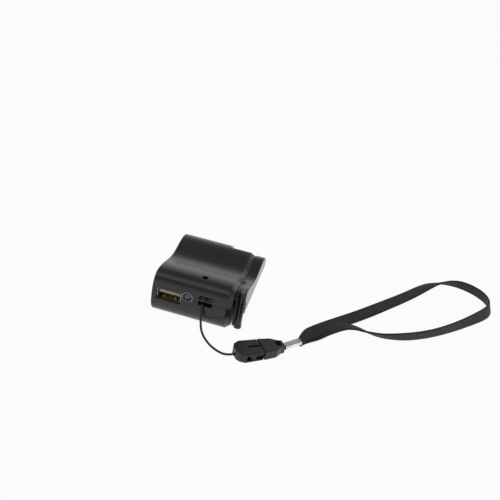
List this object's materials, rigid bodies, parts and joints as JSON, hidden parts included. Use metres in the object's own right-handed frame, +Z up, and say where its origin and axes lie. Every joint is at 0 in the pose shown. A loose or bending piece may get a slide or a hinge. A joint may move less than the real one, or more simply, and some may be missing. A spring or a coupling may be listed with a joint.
{
  "type": "hand crank phone charger",
  "caption": "Pocket hand crank charger: wave shaped two-shell body, folding crank with ribbed knob, socket, torch lamp, gear train and wrist lanyard.",
  "frame": {"origin": "on the resting face, under the middle of the body with its folded crank, lanyard not counted", "axes": "+Z up, +X from the closed end towards the crank end, -Y the face with the socket"},
  "size_m": [0.1849, 0.1346, 0.0259],
  "materials": {
    "black_abs": "satin black moulded ABS",
    "black_acetal": "matte black acetal",
    "grey_abs": "matte grey",
    "white_acetal": "natural white acetal",
    "ivory_plastic": "ivory connector insulator",
    "steel": "turned steel",
    "plated_steel": "nickel plated sheet",
    "plated_ferrule": "nickel plated crimp",
    "chrome_ring": "bright chromed ring",
    "brass": "turned brass",
    "gold": "gold flashed contacts",
    "magnet": "sintered ferrite",
    "ferrite": "ferrite bobbin",
    "wire": "insulated wire",
    "clear_resin": "clear lamp resin",
    "tinted_resin": "dark red lamp resin, unlit",
    "board": "green solder mask",
    "capacitor_sleeve": "shrink sleeve",
    "chip": "moulded epoxy",
    "cord": "braided black cord",
    "webbing": "woven black webbing"
  },
  "bodies": {
    "housing": {"upper_shell": "black_abs", "lower_shell": "black_abs", "shaft_bush": "brass", "gear_plate": "grey_abs", "gear_axles": "steel", "generator_can": "plated_steel", "generator_cap": "white_acetal", "generator_magnets": "magnet", "generator_leads": "wire", "usb_shell": "plated_steel", "usb_tongue": "ivory_plastic", "usb_contacts": "gold", "torch_lamp": "clear_resin", "torch_ring": "chrome_ring", "indicator_lamp": "tinted_resin", "circuit_board": "board", "capacitor": "capacitor_sleeve", "choke": "ferrite", "regulator_chip": "chip", "housing_screws": "steel", "lanyard_cord": "cord", "buckle_socket": "black_acetal"},
    "crank_hub": {"crank_hub": "black_abs", "drive_gear": "white_acetal", "shaft_circlip": "steel", "hinge_pin": "steel"},
    "crank_arm": {"crank_arm": "black_abs", "knob_pin": "steel"},
    "crank_knob": {"crank_knob": "black_abs"},
    "first_gear": {"first_gear": "white_acetal"},
    "second_gear": {"second_gear": "white_acetal"},
    "rotor": {"generator_rotor": "steel", "rotor_pinion": "brass"},
    "buckle_plug": {"buckle_plug": "black_acetal", "strap_ferrule": "plated_ferrule", "wrist_strap": "webbing"}
  },
  "joints": [
    {"name": "crank_spin", "type": "hinge", "parent": "housing", "child": "crank_hub", "pos_m": [0.01865, -0.0152, 0.0125], "axis": [1, 0, 0], "continuous": true},
    {"name": "arm_fold", "type": "hinge", "parent": "crank_hub", "child": "crank_arm", "pos_m": [0.0223, -0.0205, 0.018], "axis": [0, 0, -1], "range_deg": [0, 180]},
    {"name": "knob_spin", "type": "hinge", "parent": "crank_arm", "child": "crank_knob", "pos_m": [0.01865, 0.0249, 0.0184], "axis": [1, 0, 0], "continuous": true},
    {"name": "first_gear_spin", "type": "hinge", "parent": "housing", "child": "first_gear", "pos_m": [0.01865, -0.0037, 0.0125], "axis": [1, 0, 0], "continuous": true},
    {"name": "second_gear_spin", "type": "hinge", "parent": "housing", "child": "second_gear", "pos_m": [0.01865, 0.0068, 0.0125], "axis": [1, 0, 0], "continuous": true},
    {"name": "rotor_spin", "type": "hinge", "parent": "housing", "child": "rotor", "pos_m": [0.01865, 0.0173, 0.0125], "axis": [1, 0, 0], "continuous": true},
    {"name": "buckle_release", "type": "slide", "parent": "housing", "child": "buckle_plug", "axis": [0.8039, 0.5948, 0], "range_m": [0, 0.012]}
  ],
  "couplings": [
    {"joint": "first_gear_spin", "follows": "crank_spin", "ratio": -3.6},
    {"joint": "second_gear_spin", "follows": "crank_spin", "ratio": 11.52},
    {"joint": "rotor_spin", "follows": "crank_spin", "ratio": -36.864}
  ]
}
